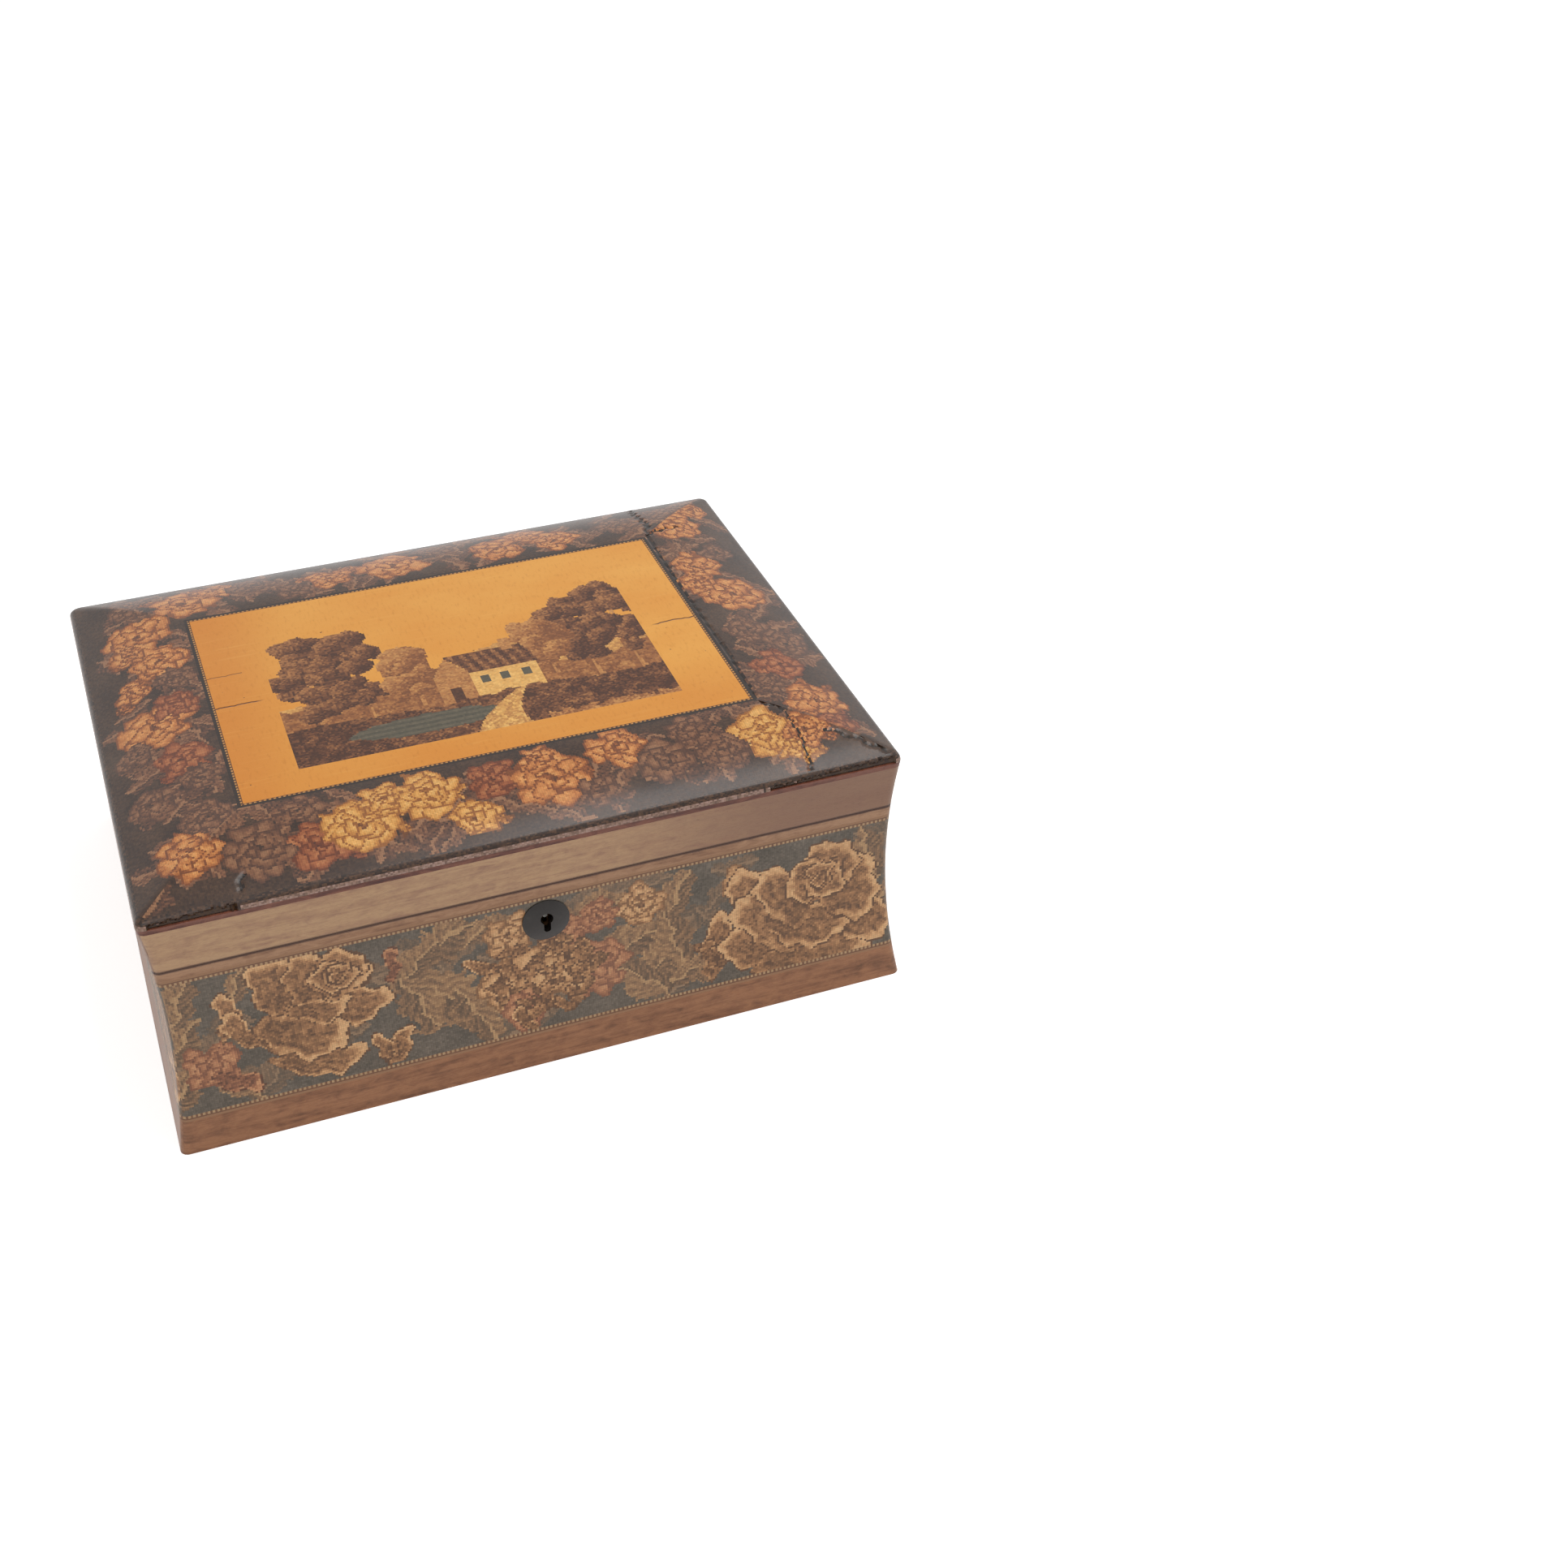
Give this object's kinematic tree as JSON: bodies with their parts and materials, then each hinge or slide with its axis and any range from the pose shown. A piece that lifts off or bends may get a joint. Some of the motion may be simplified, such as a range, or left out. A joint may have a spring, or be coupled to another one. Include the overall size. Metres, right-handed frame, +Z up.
{
  "type": "work box",
  "caption": "Wooden work box with hollow sides, a cushion-shaped hinged lid, floral wood mosaic bands, a lock and a lift-out tray.",
  "frame": {"origin": "bottom centre of the box, on the surface it stands on", "axes": "+X to the right seen from the lock side, +Y to the hinged back, +Z up"},
  "size_m": [0.2634, 0.2096, 0.106],
  "materials": {
    "carcase_wood": "satin",
    "base_veneer": "polished",
    "lid_veneer": "polished",
    "mosaic": "polished",
    "lid_mosaic": "polished",
    "stringing": "polished",
    "rim_line": "polished",
    "yellow_wood": "polished",
    "picture_wood": "polished",
    "base_paper": "matt",
    "lining_paper": "matt",
    "silk": "sheen",
    "velvet": "matt",
    "ribbon": "sheen",
    "tray_wood": "satin",
    "dark_metal": "patinated",
    "brass": "aged",
    "steel": "aged"
  },
  "bodies": {
    "case": {"case_wall_front": "carcase_wood", "case_wall_back": "carcase_wood", "case_wall_left": "carcase_wood", "case_wall_right": "carcase_wood", "base_veneer_front": "base_veneer", "base_veneer_back": "base_veneer", "base_veneer_left": "base_veneer", "base_veneer_right": "base_veneer", "mosaic_band_front": "mosaic", "mosaic_band_back": "mosaic", "mosaic_band_left": "mosaic", "mosaic_band_right": "mosaic", "bottom_board": "carcase_wood", "base_paper": "base_paper", "stringing_lower": "stringing", "stringing_upper": "stringing", "joint_strip": "base_veneer", "escutcheon": "dark_metal", "lock_case": "brass", "lock_selvedge": "brass", "lock_pin": "steel", "lock_screws": "steel", "hinge_leaves_case": "brass", "hinge_pins": "steel", "hinge_screws_case": "steel", "case_lining": "lining_paper", "floor_pad": "silk", "tray_bearers": "carcase_wood"},
    "lid": {"lid_board": "carcase_wood", "lid_rail_front": "carcase_wood", "lid_rail_back": "carcase_wood", "lid_rail_left": "carcase_wood", "lid_rail_right": "carcase_wood", "lid_veneer_front": "lid_veneer", "lid_veneer_back": "lid_veneer", "lid_veneer_left": "lid_veneer", "lid_veneer_right": "lid_veneer", "rim_line": "rim_line", "rim_stringing": "stringing", "cushion_mosaic_front": "lid_mosaic", "cushion_mosaic_back": "lid_mosaic", "cushion_mosaic_left": "lid_mosaic", "cushion_mosaic_right": "lid_mosaic", "panel_stringing": "stringing", "panel_ground": "yellow_wood", "picture_inlay": "picture_wood", "link_plate": "brass", "link_screws": "steel", "hinge_leaves_lid": "brass", "hinge_screws_lid": "steel", "lid_lining": "silk", "lid_pad": "silk"},
    "tray": {"tray_bottom": "tray_wood", "tray_walls": "tray_wood", "tray_dividers": "tray_wood", "pincushion": "velvet", "tray_tabs": "ribbon"},
    "lock_bolt": {"lock_bolt": "brass"}
  },
  "joints": [
    {"name": "lid_hinge", "type": "hinge", "parent": "case", "child": "lid", "pos_m": [0, 0.1026, 0.07567], "axis": [-1, 0, 0], "range_deg": [0, 100]},
    {"name": "tray_lift", "type": "slide", "parent": "case", "child": "tray", "axis": [0, 0, 1], "range_m": [0, 0.046]},
    {"name": "lock_bolt_slide", "type": "slide", "parent": "case", "child": "lock_bolt", "axis": [1, 0, 0], "range_m": [0, 0.004]}
  ],
  "couplings": [
    {"joint": "tray_lift", "follows": "lid_hinge", "m_per_rad": 0.0258}
  ]
}
